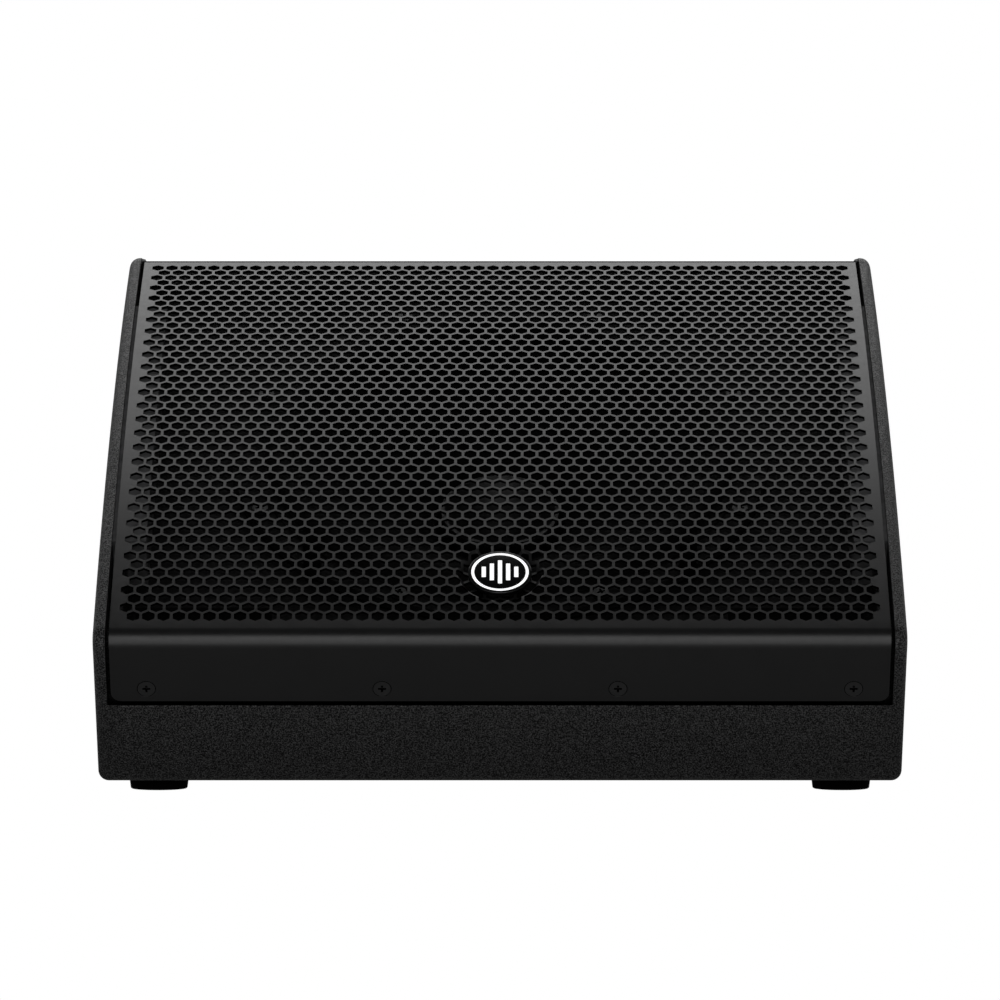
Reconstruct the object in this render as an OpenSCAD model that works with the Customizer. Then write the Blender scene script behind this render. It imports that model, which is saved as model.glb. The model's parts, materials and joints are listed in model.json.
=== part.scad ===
// Stage monitor wedge: a plywood cabinet with a curved steel grille, a 12-inch
// coaxial driver, and a rear amplifier in a recessed tray.
// +Z is up, the grille faces -Y, and the origin is on the floor under the middle.

/* [Cabinet] */
// Overall width across the side panels
cab_w = 457; // [440:1:480]
// Overall depth from the nose to the rear panel
cab_d = 410; // [405:1:430]
// Overall height with the feet
cab_h = 308; // [304:1:312]
// Thickness of the plywood panels
board = 15; // [13:0.5:16]
// How far the side panel edges stand proud of the grille and the lip
rim_proud = 1.8; // [1:0.1:2.5]
// Thickness of the side panel rim beside the grille
rim_w = 7; // [6:0.5:8]
// How far the top panel lies below the side panel edges
top_drop = 2; // [1:0.5:3]

/* [Front] */
// Height of the nose bend's centre above the floor
nose_z = 88.3; // [87:0.1:90]
// Outer radius of the grille's bend at the nose
bend_r = 10; // [9:0.5:11]
// Slope of the grille just above the nose, from horizontal
nose_slope = 40.4; // [40:0.1:41]
// Radius of the grille's long curve
curve_r = 1362; // [1340:1:1380]
// Lean of the lip and the kick panel from vertical
kick_lean = 31.8; // [31:0.1:33]
// Thickness of the grille sheet
sheet = 1.5; // [1:0.1:2]
// Width of the grille
grille_w = 439.5; // [438:0.5:441]
// Height of the lip's lower edge
lip_z = 53.5; // [52:0.5:55]
// Height of the lip screws
lip_screw_z = 60.7; // [60:0.1:63]

/* [Baffle] */
// Slope of the baffle from horizontal
baffle_slope = 34.5; // [34:0.1:35]
// Distance from the grille's middle down to the baffle
baffle_depth = 34; // [32:0.5:36]
// Width of each port slot
port_w = 78; // [60:1:78]
// Height of each port slot, up the baffle
port_h = 43; // [30:1:44]
// Length of each port duct behind the baffle
port_len = 40; // [20:1:45]

/* [Driver] */
// Radius of the driver's frame
frame_r = 157.5; // [156:0.5:159]
// Radius of the opening inside the frame
open_r = 143; // [142:0.5:144]
// Cone radius where it meets the surround
cone_r = 121; // [118:0.5:123]
// Radius of the voice coil
coil_r = 39; // [38.5:0.1:39.2]
// Cone and coil travel each way
cone_travel = 5; // [2:0.5:6]

/* [Feet and side fittings] */
// Radius of the feet where they meet the cabinet
foot_r = 17; // [15:0.5:20]
// Height of the feet
foot_h = 6.5; // [6:0.5:8]
// Distance of the feet from the centre line
foot_x = 195.5; // [180:0.5:196]
// Inner radius of the pole socket, for a 35 mm pole
pole_r = 17.75; // [17.6:0.05:18]
// Depth of the pole socket
pole_depth = 80; // [60:1:80]
// Width of the handle opening, front to back
handle_w = 120; // [110:1:124]
// Height of the handle opening
handle_h = 96; // [90:1:100]

/* [Amplifier] */
// Width of the amplifier tray
amp_w = 300; // [296:1:320]
// Height of the amplifier tray
amp_h = 180; // [176:1:190]
// Height of the tray's middle above the floor
amp_z = 150; // [145:1:155]
// Depth of the tray
amp_depth = 16; // [15:0.5:18]
// Radius of the level knobs
knob_r = 8; // [6:0.5:9]

/* [Hidden] */
$fn = 96;

big = 900;                          // longer than the whole cabinet
cut = 1;                            // how far a cutter runs past a face
paint = [0.07, 0.07, 0.07];
steel = [0.62, 0.63, 0.65];
plastic = [0.1, 0.1, 0.1];
rubber = [0.04, 0.04, 0.04];

inner_x = cab_w / 2 - board;        // inner face of the side panels
rear_y = cab_d / 2;
floor_top = foot_h + board;         // inner face of the bottom panel
top_z = cab_h - top_drop;
top_under = top_z - board;

// The nose bend's centre, and the centre of the grille's long curve.
nose = [-rear_y + bend_r + rim_proud, nose_z];
curve = nose + (curve_r - bend_r) * [sin(nose_slope), -cos(nose_slope)];
nose_steps = 16;
curve_steps = 32;

// Hole rows of the grille, counted from the top, which place what sits under them.
rows = 52;
row_pitch = 7.44;
row_start = 9.1;                    // from the bend up to the lowest row
function row_slope(row) =
    nose_slope - (row_start + (rows - row) * row_pitch) / curve_r * 180 / PI;
function front_point(slope, lift) =
    curve + (curve_r + lift) * [-sin(slope), cos(slope)];
function kick_point(z, lift) =
    [nose[0] - (bend_r + lift + sin(kick_lean) * (z - nose[1])) / cos(kick_lean), z];

// The round nose, from the kick plane up to the long curve.
function nose_arc(lift) = [for (k = [0:nose_steps])
    let (turn = 180 + kick_lean - (90 + kick_lean - nose_slope) * k / nose_steps)
    nose + (bend_r + lift) * [cos(turn), sin(turn)]];

// The long curve, from just above the nose to the slope at its end.
function long_curve(lift, last) = [for (k = [1:curve_steps])
    front_point(nose_slope + (last - nose_slope) * k / curve_steps, lift)];
function reversed(list) = [for (k = [len(list) - 1:-1:0]) list[k]];

mid_slope = (row_slope(1) + row_slope(rows)) / 2;
baffle_mid = front_point(mid_slope, -baffle_depth);
grille_top = row_slope(1) - 7.7 / curve_r * 180 / PI;
top_front_y = front_point(grille_top, 0)[0] + 2;
lip_back = sheet + 0.7;             // depth of the lip's rebate behind its face
lip_gap = 2.2;                      // gap under the lip
groove_depth = 8;                   // shadow groove behind the lip's lower edge
groove_rise = 1.5;                  // how far the groove reaches up behind the lip
kick_top = nose[1] - 4;

badge_slope = row_slope(47);
dimple_r = 24;
dimple_depth = 4;
badge_r = 18;
badge_t = 3;
badge_lift = 1.3;                   // how far the badge stands above the grille
badge_stud_r = 3;
run = 0.05;                         // radial clearance of a running fit

lip_screw_x = [-199, -66.4, 66.4, 199];
lip_screw_r = 2.5;
insert_r = 3.5;
head_r = 4.95;
head_h = 1.9;
post_x = 108;
post_r = 5;
post_gap = 0.4;
pad_x = 202;                        // inner edge of the side pads
pad_w = cab_w / 2 - rim_w - 0.1 - pad_x;

port_x = inner_x - 5.5 - port_w / 2;
port_y = -163.5;
duct_wall = 3;

// Driver levels, measured from the baffle's front face.
gasket_t = 1.5;
frame_top = 7;
spider_z = -60;
plate_z = -82;
magnet_z = -90;
yoke_z = -108;
yoke_back = -116;
can_back = -148;
bolt_count = 8;
bolt_ring = 151;
magnet_r = 60;
pole_piece_r = 37.3;
throat_r = 15;

front_foot_y = kick_point(foot_h, 0)[0] + 29;
rear_foot_y = rear_y - 35;
foot_taper = 0.65;
foot_recess = 5;                    // radius and depth of the screw's recess
foot_screw_r = 2.5;

flange_t = 3;
flange_lip = 12;
handle_y = 75;
handle_z = 135;
handle_depth = 55;
handle_corner = 22;
handle_bar_r = 11;
handle_screw_inset = 2.2;           // keeps the screws on the flange's rounded corners
pole_y = 30;
pole_z = 130;
pole_flange_r = 40;
pole_wall = 3;
side_screw_r = 2;
side_head_r = 4;

amp_floor = rear_y - amp_depth;     // outer face of the tray's floor
tray_t = 2;
tray_lip = 10;
tray_gap = 0.5;
jack_x = [110, 70, 30];
jack_z = 132;
knob_z = 92;
button_x = 30;
jack_r = 12;
plug_r = 9.6;
latch_y = 13;
rocker_x = -62;
inlet_x = -112;
power_z = 110;
rocker_tilt = 9;
board_z = -24;                      // board level behind the tray's floor
board_t = 1.6;
fin_count = 24;
fin_h = 10;
sink_w = 250;
sink_h = 58;
sink_z = 198;
sink_base = 4;

// ---- helpers --------------------------------------------------------------

// Extrudes an outline drawn in depth and height along X, centred on x = 0.
module along_x(width) rotate([90, 0, 90]) linear_extrude(width, center = true) children();

// Everything behind the kick plane, which is moved outwards by grow.
module behind_kick(grow)
    translate(nose) rotate(kick_lean) translate([-bend_r - grow, -big]) square(2 * big);

// Everything in front of a plane parallel to the baffle's face.
module above_baffle(lift)
    translate(baffle_mid) rotate(baffle_slope) translate([-big, lift]) square(2 * big);

// Height band of the cabinet, from y0 to y1.
module band(y0, y1, z0, z1) translate([y0, z0]) square([y1 - y0, z1 - z0]);

// Side view of the cabinet, grown from the grille's outer surface.
module outline(grow) polygon(concat(
    [[rear_y, foot_h], kick_point(foot_h, grow)],
    nose_arc(grow),
    long_curve(grow, acos((cab_h - curve[1]) / (curve_r + grow))),
    [[rear_y, cab_h]]
));

// Side view of the bent grille sheet.
module sheet_section() polygon(concat(
    [kick_point(lip_z, 0)],
    nose_arc(0),
    long_curve(0, grille_top),
    reversed(concat(
        [kick_point(lip_z, -sheet)],
        nose_arc(-sheet),
        long_curve(-sheet, grille_top)
    ))
));

// The rebate that the lip lies in, seen from the side.
module lip_rebate() difference() {
    band(-rear_y - cut, nose[0] + 40, lip_z - lip_gap, cab_h);
    behind_kick(-lip_back);
}

module on_front(slope, lift)
    translate([0, curve[0], curve[1]]) rotate([slope, 0, 0])
        translate([0, 0, curve_r + lift]) children();

module on_baffle()
    translate([0, baffle_mid[0], baffle_mid[1]]) rotate([baffle_slope, 0, 0]) children();

// Puts local +Z along the lip's outward normal at a height on the lip.
module on_lip(x, z)
    translate([x, kick_point(z, 0)[0], z]) rotate([90 + kick_lean, 0, 0]) children();

// Local +Z leaves the tray's floor, and local +Y is up.
module on_amp(x, z) translate([x, amp_floor, z]) rotate([90, 0, 180]) children();

// Local +Z leaves a side panel's outer face; side is -1 left or 1 right.
module on_side(side, y, z)
    translate([side * cab_w / 2, y, z]) rotate([0, side * 90, 0]) children();

module tube(outer, inner, z0, z1) translate([0, 0, z0]) difference() {
    cylinder(h = z1 - z0, r = outer);
    translate([0, 0, -cut]) cylinder(h = z1 - z0 + 2 * cut, r = inner);
}

module rod(radius, z0, z1) translate([0, 0, z0]) cylinder(h = z1 - z0, r = radius);

module block(w, h, z0, z1) translate([-w / 2, -h / 2, z0]) cube([w, h, z1 - z0]);

module rounded(w, h, corner, z0, z1) translate([0, 0, z0]) linear_extrude(z1 - z0) {
    square([w - 2 * corner, h], center = true);
    square([w, h - 2 * corner], center = true);
    for (x = [-1, 1], y = [-1, 1])
        translate([x * (w / 2 - corner), y * (h / 2 - corner)]) circle(corner);
}

// A countersunk screw whose head is flush with z = 0.
module flush_screw(shank, head, head_depth, length) difference() {
    union() {
        rod(shank, -length, 0);
        translate([0, 0, -head_depth]) cylinder(h = head_depth, r1 = shank, r2 = head);
    }
    cross_slot(head * 0.45);
}

// Cuts clearance for a flush screw.
module flush_hole(shank, head, head_depth, length) {
    rod(shank + run, -length - cut, cut);
    translate([0, 0, -head_depth])
        cylinder(h = head_depth, r1 = shank + run, r2 = head + run);
    rod(head + run, -0.01, cut);
}

module cross_slot(reach) for (turn = [0, 90])
    rotate(turn) block(2 * reach, reach * 0.55, -1.2, cut);

// ---- cabinet --------------------------------------------------------------

module front_space() {
    intersection() {
        above_baffle(0);
        band(-rear_y - cut, top_front_y, 0, cab_h);
    }
    lip_rebate();
}

module side_panel(side) color(paint) difference() {
    translate([side * (cab_w - board) / 2, 0, 0]) along_x(board) outline(rim_proud);
    translate([side * (inner_x + (board - rim_w - cut) / 2), 0, 0])
        along_x(board - rim_w + cut) {
            front_space();
            band(-rear_y, rear_y + cut, top_z, cab_h + cut);
        }
    children();
}

module side_panel_left() side_panel(-1) on_side(-1, handle_y, handle_z) {
    rounded(handle_h, handle_w, handle_corner, -board - cut, cut);
    rounded(handle_h + 2 * flange_lip, handle_w + 2 * flange_lip,
            handle_corner + flange_lip, -flange_t, cut);
    handle_screw_places() rod(side_screw_r + run, -board - cut, cut);
}

module side_panel_right() side_panel(1) on_side(1, pole_y, pole_z) {
    rod(pole_r + pole_wall + run, -board - cut, cut);
    rod(pole_flange_r + run, -flange_t, cut);
    pole_screw_places() rod(side_screw_r + run, -board - cut, cut);
}

module top_panel() color(paint) along_x(2 * inner_x)
    band(top_front_y, rear_y, top_under, top_z);

module bottom_panel() color(paint) difference() {
    along_x(2 * inner_x) intersection() {
        behind_kick(rim_proud - board);
        band(-rear_y, rear_y, foot_h, floor_top);
    }
    foot_places() rod(foot_screw_r + run, foot_h - cut, floor_top + cut);
}

module rear_panel() color(paint) difference() {
    along_x(2 * inner_x) band(rear_y - board, rear_y, floor_top, top_under);
    rear_box(amp_w, amp_h, -board - cut, cut);
    rear_box(amp_w + 2 * tray_lip + 1, amp_h + 2 * tray_lip + 1, -tray_t, cut);
    tray_screw_places() rod(side_screw_r + run, -board - cut, cut);
}

module kick_panel() color(paint) difference() {
    along_x(2 * inner_x) intersection() {
        difference() {
            behind_kick(rim_proud);
            behind_kick(rim_proud - board);
            lip_rebate();
        }
        band(-rear_y, rear_y, foot_h, kick_top);
    }
    along_x(2 * inner_x + cut) difference() {
        band(-rear_y - cut, rear_y, lip_z - lip_gap, lip_z + groove_rise);
        behind_kick(-groove_depth);
    }
    for (x = lip_screw_x) on_lip(x, lip_screw_z) rod(insert_r + run, -board - 5, cut);
}

module baffle() color(paint) difference() {
    along_x(2 * inner_x) intersection() {
        difference() {
            above_baffle(-board);
            above_baffle(0);
        }
        behind_kick(rim_proud - board);
        band(-rear_y, rear_y, foot_h, top_under);
    }
    on_baffle() {
        rod(open_r - 1.5, -board - cut, cut);
        bolt_places() rod(side_screw_r + run, -board - cut, cut);
        for (side = [-1, 1])
            translate([side * port_x, port_y, 0]) block(port_w, port_h, -board - cut, cut);
    }
}

// A short rectangular duct behind a port slot.
module port_duct(side) color(plastic) on_baffle() translate([side * port_x, port_y, 0])
    difference() {
        block(port_w + 2 * duct_wall, port_h + 2 * duct_wall, -board - port_len, -board);
        block(port_w, port_h, -board - port_len - cut, -board + cut);
    }

module port_duct_left() port_duct(-1);

module port_duct_right() port_duct(1);

module corner_battens() color([0.7, 0.58, 0.4]) for (side = [-1, 1])
    translate([side * (inner_x - 10), rear_y - board - 10, (floor_top + top_under) / 2])
        cube([20, 20, top_under - floor_top], center = true);

// ---- grille, screws, pads and badge ---------------------------------------

module grille() color([0.16, 0.16, 0.16]) {
    difference() {
        along_x(grille_w) sheet_section();
        on_front(badge_slope, 0) rod(dimple_r, -dimple_depth, cut);
        for (x = lip_screw_x)
            on_lip(x, lip_screw_z) flush_hole(lip_screw_r, head_r, head_h, sheet);
    }
    on_front(badge_slope, 0) rotate_extrude() polygon([
        [dimple_r, 0],
        [dimple_r - 3.5, -dimple_depth],
        [badge_stud_r + run, -dimple_depth],
        [badge_stud_r + run, -dimple_depth - sheet],
        [dimple_r - 2.7, -dimple_depth - sheet],
        [dimple_r + 1.5, -sheet],
        [dimple_r + 1.5, -0.3]
    ]);
}

module grille_screws() color(plastic) for (x = lip_screw_x)
    on_lip(x, lip_screw_z) flush_screw(lip_screw_r, head_r, head_h, board - 3);

module grille_inserts() color("goldenrod") for (x = lip_screw_x)
    on_lip(x, lip_screw_z) tube(insert_r, lip_screw_r + run, -board + 2, -lip_back - 0.1);

// Posts under the grille, with a radial clearance for what they pass.
module posts(clearance) for (x = [-post_x, post_x], row = [5, 42])
    translate([x, 0, 0]) on_front(row_slope(row), 0) rod(post_r + clearance, -60, 0);

// Rubber buffers that keep the grille off the baffle.
module grille_posts() color(rubber) intersection() {
    along_x(cab_w) intersection() {
        outline(-sheet - 0.1);
        above_baffle(0);
    }
    posts(0);
}

module side_pad(side) color([0.2, 0.2, 0.2])
    translate([side * (pad_x + pad_w / 2), 0, 0]) along_x(pad_w) intersection() {
        outline(-sheet - 0.1);
        above_baffle(0);
        polygon([
            curve,
            front_point(row_slope(8.3), 10),
            front_point(row_slope(43), 10)
        ]);
    }

module side_pad_left() side_pad(-1);

module side_pad_right() side_pad(1);

module badge_disc() color(plastic) on_front(badge_slope, 0) {
    translate([0, 0, badge_lift]) difference() {
        rod(badge_r, -badge_t, 0);
        emblem(-0.4, cut);
    }
    rod(6, -dimple_depth + 0.1, badge_lift - badge_t);
    rod(badge_stud_r, -dimple_depth - sheet - 4, -dimple_depth + 0.2);
}

// A plain ring round five upright level bars.
module emblem(z0, z1) {
    tube(16.3, 14.6, z0, z1);
    for (bar = [-2:2])
        translate([bar * 4.6, 0, 0]) block(2.4, 20 - 5.5 * abs(bar), z0, z1);
}

module badge_emblem() color("white") on_front(badge_slope, badge_lift) emblem(-0.4, 0.1);

module badge_clip() color(steel) on_front(badge_slope, 0)
    tube(6, badge_stud_r, -dimple_depth - sheet - 2, -dimple_depth - sheet - 0.5);

// ---- feet, handle and pole socket -----------------------------------------

module foot_places() for (x = [-foot_x, foot_x], y = [front_foot_y, rear_foot_y])
    translate([x, y, 0]) children();

module foot(x, y) color(rubber) translate([x, y, 0]) difference() {
    cylinder(h = foot_h, r1 = foot_r - foot_taper, r2 = foot_r);
    rod(foot_recess, -cut, foot_recess);
    rod(foot_screw_r + run, -cut, foot_h + cut);
}

module foot_front_left() foot(-foot_x, front_foot_y);

module foot_front_right() foot(foot_x, front_foot_y);

module foot_rear_left() foot(-foot_x, rear_foot_y);

module foot_rear_right() foot(foot_x, rear_foot_y);

module foot_screws() color(steel) foot_places() difference() {
    union() {
        rod(foot_recess - 0.5, foot_recess - 2, foot_recess);
        rod(foot_screw_r, foot_recess, floor_top - 2);
    }
    translate([0, 0, foot_recess - 2]) mirror([0, 0, 1]) cross_slot(2.5);
}

module handle_screw_places() for (x = [-1, 1], y = [-1, 1])
    translate([
        x * (handle_h / 2 - handle_screw_inset),
        y * (handle_w / 2 - handle_screw_inset),
        0
    ]) children();

// Local X points up on this side, so the handle's height runs along local X.
module handle_cup() color(plastic) on_side(-1, handle_y, handle_z) {
    difference() {
        union() {
            rounded(handle_h + 2 * flange_lip - 0.4, handle_w + 2 * flange_lip - 0.4,
                    handle_corner + flange_lip - 0.2, -flange_t, 0);
            rounded(handle_h - 0.4, handle_w - 0.4, handle_corner - 0.2, -handle_depth, 0);
        }
        rounded(handle_h - 6, handle_w - 6, handle_corner - 3, -handle_depth + 3, cut);
        handle_screw_places() flush_hole(side_screw_r, side_head_r, 2, flange_t);
    }
    translate([8, 0, -handle_bar_r - 1]) rotate([90, 0, 0])
        cylinder(h = handle_w - 4, r = handle_bar_r, center = true);
}

module handle_screws() color(plastic) on_side(-1, handle_y, handle_z)
    handle_screw_places() flush_screw(side_screw_r, side_head_r, 2, board - 1);

module pole_screw_places() for (turn = [45:90:315])
    rotate(turn) translate([31, 0, 0]) children();

module pole_socket() color(plastic) on_side(1, pole_y, pole_z) difference() {
    union() {
        rod(pole_flange_r, -flange_t, 0);
        rod(pole_r + pole_wall, -pole_depth - pole_wall, 0);
    }
    rod(pole_r, -pole_depth, cut);
    pole_screw_places() flush_hole(side_screw_r, side_head_r, 2, flange_t);
}

module pole_socket_screws() color(plastic) on_side(1, pole_y, pole_z)
    pole_screw_places() flush_screw(side_screw_r, side_head_r, 2, board - 1);

// ---- coaxial driver -------------------------------------------------------

module bolt_places() for (turn = [22.5 : 360 / bolt_count : 360])
    rotate(turn) translate([bolt_ring, 0, 0]) children();

// The frame and its gasket are notched where two of the grille's posts pass.
module basket() color([0.12, 0.12, 0.13]) difference() {
    on_baffle() basket_casting();
    posts(post_gap);
}

module basket_casting() difference() {
    rotate_extrude() polygon([
        [open_r - 5, frame_top],
        [frame_r, frame_top],
        [frame_r, gasket_t],
        [open_r - 2, gasket_t],
        [open_r - 2, -4],
        [90, spider_z],
        [magnet_r + 2, plate_z + 4],
        [magnet_r + 2, plate_z],
        [coil_r + 8, plate_z],
        [coil_r + 8, plate_z + 4],
        [magnet_r - 2, plate_z + 4],
        [75, spider_z - 1],
        [75, spider_z + 1],
        [78, spider_z + 1],
        [84, spider_z + 3],
        [open_r - 7, -4],
        [open_r - 7, 3],
        [open_r - 5, 3]
    ]);
    for (turn = [0:60:300])
        rotate(turn) translate([110, 0, spider_z + 32]) cube([60, 52, 38], center = true);
    for (turn = [0:60:300])
        rotate(turn) translate([66, 0, plate_z + 13]) cube([14, 30, 12], center = true);
    bolt_places() rod(lip_screw_r + run, -cut, frame_top + cut);
}

module driver_gasket() color(rubber) difference() {
    on_baffle() difference() {
        tube(frame_r, open_r, 0, gasket_t);
        bolt_places() rod(lip_screw_r + run, -cut, gasket_t + cut);
    }
    posts(post_gap);
}

// Half-roll edge between the cone and the frame.
module surround() color(rubber) on_baffle() {
    roll_r = (open_r - 5 - cone_r) / 2;
    roll_t = 1;
    translate([0, 0, frame_top]) rotate_extrude() {
        translate([cone_r + roll_r, 0]) intersection() {
            difference() {
                circle(roll_r);
                circle(roll_r - roll_t);
            }
            translate([-roll_r, 0]) square([2 * roll_r, roll_r]);
        }
        translate([cone_r - 3, 0]) square([4, roll_t]);
        translate([open_r - 6, 0]) square([7, roll_t]);
    }
}

module cone() color([0.09, 0.09, 0.09]) on_baffle() rotate_extrude() polygon([
    [cone_r, frame_top - 1.2],
    [cone_r, frame_top - 0.1],
    [cone_r - 4, frame_top - 0.1],
    [coil_r + 0.6, -44],
    [coil_r + 0.6, -46],
    [cone_r - 3, frame_top - 1.2]
]);

module voice_coil() color("peru") on_baffle()
    tube(coil_r + 0.5, coil_r - 0.3, plate_z - 12, -44.5);

// Corrugated centring disc.
module spider() color([0.75, 0.62, 0.3]) on_baffle() rotate_extrude() {
    wave = 2;
    step = 7;
    difference() {
        union() {
            translate([coil_r + 0.6, spider_z - 0.4]) square([3, 0.8]);
            translate([74, spider_z + 1]) square([3, 0.8]);
            for (k = [0:3]) translate([coil_r + 3 + k * step, spider_z]) polygon([
                [0, -0.4], [step / 2, wave - 0.4], [step, -0.4],
                [step, 0.4], [step / 2, wave + 0.4], [0, 0.4]
            ]);
            translate([coil_r + 3 + 4 * step, spider_z]) polygon([
                [-0.1, -0.4], [5, 1], [5, 1.8], [-0.1, 0.4]
            ]);
        }
        translate([0, spider_z - big]) square([coil_r + 0.55, 2 * big]);
    }
}

module top_plate() color(steel) on_baffle() tube(magnet_r, coil_r + 1.5, magnet_z, plate_z);

module magnet() color([0.25, 0.25, 0.27]) on_baffle() tube(magnet_r - 1, 46, yoke_z, magnet_z);

module pole_yoke() color(steel) on_baffle() difference() {
    union() {
        rod(magnet_r, yoke_back, yoke_z);
        rod(pole_piece_r, yoke_z, plate_z);
    }
    rod(throat_r, yoke_back - cut, plate_z + cut);
}

// Flared horn inside the voice coil.
module hf_horn() color(plastic) on_baffle() rotate_extrude() polygon([
    [11, yoke_back], [12.5, -84], [17, -66], [24, -48], [33, -34],
    [35, -34], [35, -36], [26, -51], [19.5, -67], [throat_r - 0.1, -81],
    [throat_r - 0.1, yoke_back]
]);

module compression_driver() color([0.2, 0.2, 0.21]) on_baffle() {
    rod(44, can_back + 6, yoke_back);
    rod(38, can_back, can_back + 6);
}

module driver_bolts() color(steel) on_baffle() bolt_places() difference() {
    union() {
        rod(side_screw_r, -board + 2, frame_top);
        rod(4.5, frame_top, frame_top + 3);
    }
    translate([0, 0, frame_top + 3]) cross_slot(2.5);
}

// ---- amplifier ------------------------------------------------------------

module rear_box(w, h, y0, y1) translate([-w / 2, rear_y + y0, amp_z - h / 2])
    cube([w, y1 - y0, h]);

module tray_screw_places()
    for (x = [-1, -1 / 3, 1 / 3, 1], z = [-1, 1])
        translate([x * (amp_w + tray_lip) / 2, rear_y, amp_z + z * (amp_h + tray_lip) / 2])
            rotate([90, 0, 180]) children();

module jack_hole() {
    rod(jack_r + 0.2, -amp_depth, cut);
    translate([0, latch_y, 0]) block(8.4, 4.6, -amp_depth, cut);
}

module amp_panel() color([0.13, 0.13, 0.14]) difference() {
    union() {
        rear_box(amp_w + 2 * tray_lip, amp_h + 2 * tray_lip, -tray_t, 0);
        rear_box(amp_w - 2 * tray_gap, amp_h - 2 * tray_gap, -amp_depth - tray_t, 0);
        for (x = [-125, 125], z = [85, 215])
            on_amp(x, z) rod(3, board_z, -tray_t);
    }
    rear_box(amp_w - 2 * tray_gap - 2 * tray_t, amp_h - 2 * tray_gap - 2 * tray_t,
             -amp_depth, cut);
    tray_screw_places() flush_hole(side_screw_r, side_head_r, tray_t - 0.1, tray_t);
    for (x = jack_x) on_amp(x, jack_z) jack_hole();
    for (k = [0, 1]) on_amp(jack_x[k], knob_z) rod(6.3, -tray_t - cut, cut);
    on_amp(button_x, knob_z) block(7, 7, -tray_t - cut, cut);
    on_amp(rocker_x, power_z) block(20.4, 28.4, -tray_t - cut, cut);
    on_amp(inlet_x, power_z) block(29.4, 22.4, -tray_t - cut, cut);
    light_places() rod(1.6, -tray_t - cut, cut);
    jack_screw_places() rod(1.3, -tray_t - cut, cut);
}

module amp_panel_screws() color(plastic) tray_screw_places()
    flush_screw(side_screw_r, side_head_r, tray_t - 0.1, board - 2);

module heat_sink() color(plastic) on_amp(0, sink_z) {
    block(sink_w, sink_h, 0, sink_base);
    for (k = [0 : fin_count - 1])
        translate([(k - (fin_count - 1) / 2) * sink_w / (fin_count + 0.2), 0, 0])
            block(2, sink_h, sink_base - 0.5, sink_base + fin_h);
}

module amp_board() color("darkgreen") on_amp(0, amp_z)
    block(270, 150, board_z - board_t, board_z);

module power_capacitors() color([0.1, 0.12, 0.3])
    for (x = [30, 60, 90, 120]) on_amp(x, 180) rod(12.5, board_z - board_t - 34, board_z - board_t);

module transformer() color([0.75, 0.5, 0.2]) on_amp(-80, 180)
    tube(36, 12, board_z - board_t - 30, board_z - board_t);

// The plate and barrel that both kinds of socket share.
module jack_shell(depth) difference() {
    union() {
        block(26, 31, 0, 2);
        rod(jack_r, -20, 0.5);
    }
    rod(plug_r, -depth, 2 + cut);
    translate([0, latch_y, 0]) block(8, 4.4, -20 - cut, 2 + cut);
    for (corner = [-1, 1]) translate([corner * 10, -corner * 12.5, 0])
        flush_hole_up(1.25, 2.4, 2);
}

// Countersink for a small screw in a plate of this thickness.
module flush_hole_up(shank, head, thick) translate([0, 0, thick])
    flush_hole(shank, head, 1.2, thick);

module input_jack(x) color(plastic) on_amp(x, jack_z) difference() {
    jack_shell(9);
    rod(3.3, -18, 0);
    for (turn = [90, 210, 330]) rotate(turn) translate([6.4, 0, 0]) rod(1.4, -16, 0);
}

module input_jack_1() input_jack(jack_x[0]);

module input_jack_2() input_jack(jack_x[1]);

module link_output() color(plastic) on_amp(jack_x[2], jack_z) {
    jack_shell(12);
    for (turn = [90, 210, 330]) rotate(turn) translate([6, 0, 0]) rod(1.15, -12.5, -1);
}

// Release tab above a jack.
module jack_latch(x) color("silver") on_amp(x, jack_z)
    translate([0, latch_y, 0]) block(7.2, 3.6, -6, 4);

module jack_latch_1() jack_latch(jack_x[0]);

module jack_latch_2() jack_latch(jack_x[1]);

module level_knob(x) color([0.08, 0.08, 0.08]) on_amp(x, knob_z) difference() {
    union() {
        translate([0, 0, 1]) cylinder(h = 11, r1 = knob_r, r2 = knob_r - 1);
        rod(3, -12, 1.5);
    }
    for (turn = [0:20:340]) rotate(turn) translate([knob_r + 0.7, 0, 3]) rod(1.3, 0, 12);
    translate([0, knob_r / 2, 12]) block(1.2, knob_r, -0.6, cut);
}

module level_knob_1() level_knob(jack_x[0]);

module level_knob_2() level_knob(jack_x[1]);

module level_pots() color(steel) for (k = [0, 1]) on_amp(jack_x[k], knob_z) {
    tube(6, 3 + run, -3, 0.5);
    tube(8.5, 3 + run, -13, -3);
}

module contour_button() color([0.3, 0.3, 0.3]) on_amp(button_x, knob_z) block(6, 6, -7, 4);

module switch_housing() color(plastic) on_amp(rocker_x, power_z) difference() {
    union() {
        block(25, 33, 0, 2);
        block(20, 28, -16, 0);
    }
    block(15, 23, -12, 2 + cut);
    translate([0, 0, -4]) rotate([0, 90, 0])
        cylinder(h = 17.6, r = 1.2 + run, center = true);
}

module power_rocker() color([0.05, 0.05, 0.05]) on_amp(rocker_x, power_z)
    translate([0, 0, -4]) rotate([rocker_tilt, 0, 0]) {
        along_x(14.2) polygon([
            [-9.6, 0], [-9.6, 7.4], [0, 5.8], [9.6, 7.4], [9.6, 0], [3, -3], [-3, -3]
        ]);
        rotate([0, 90, 0]) cylinder(h = 17, r = 1.2, center = true);
    }

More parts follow.
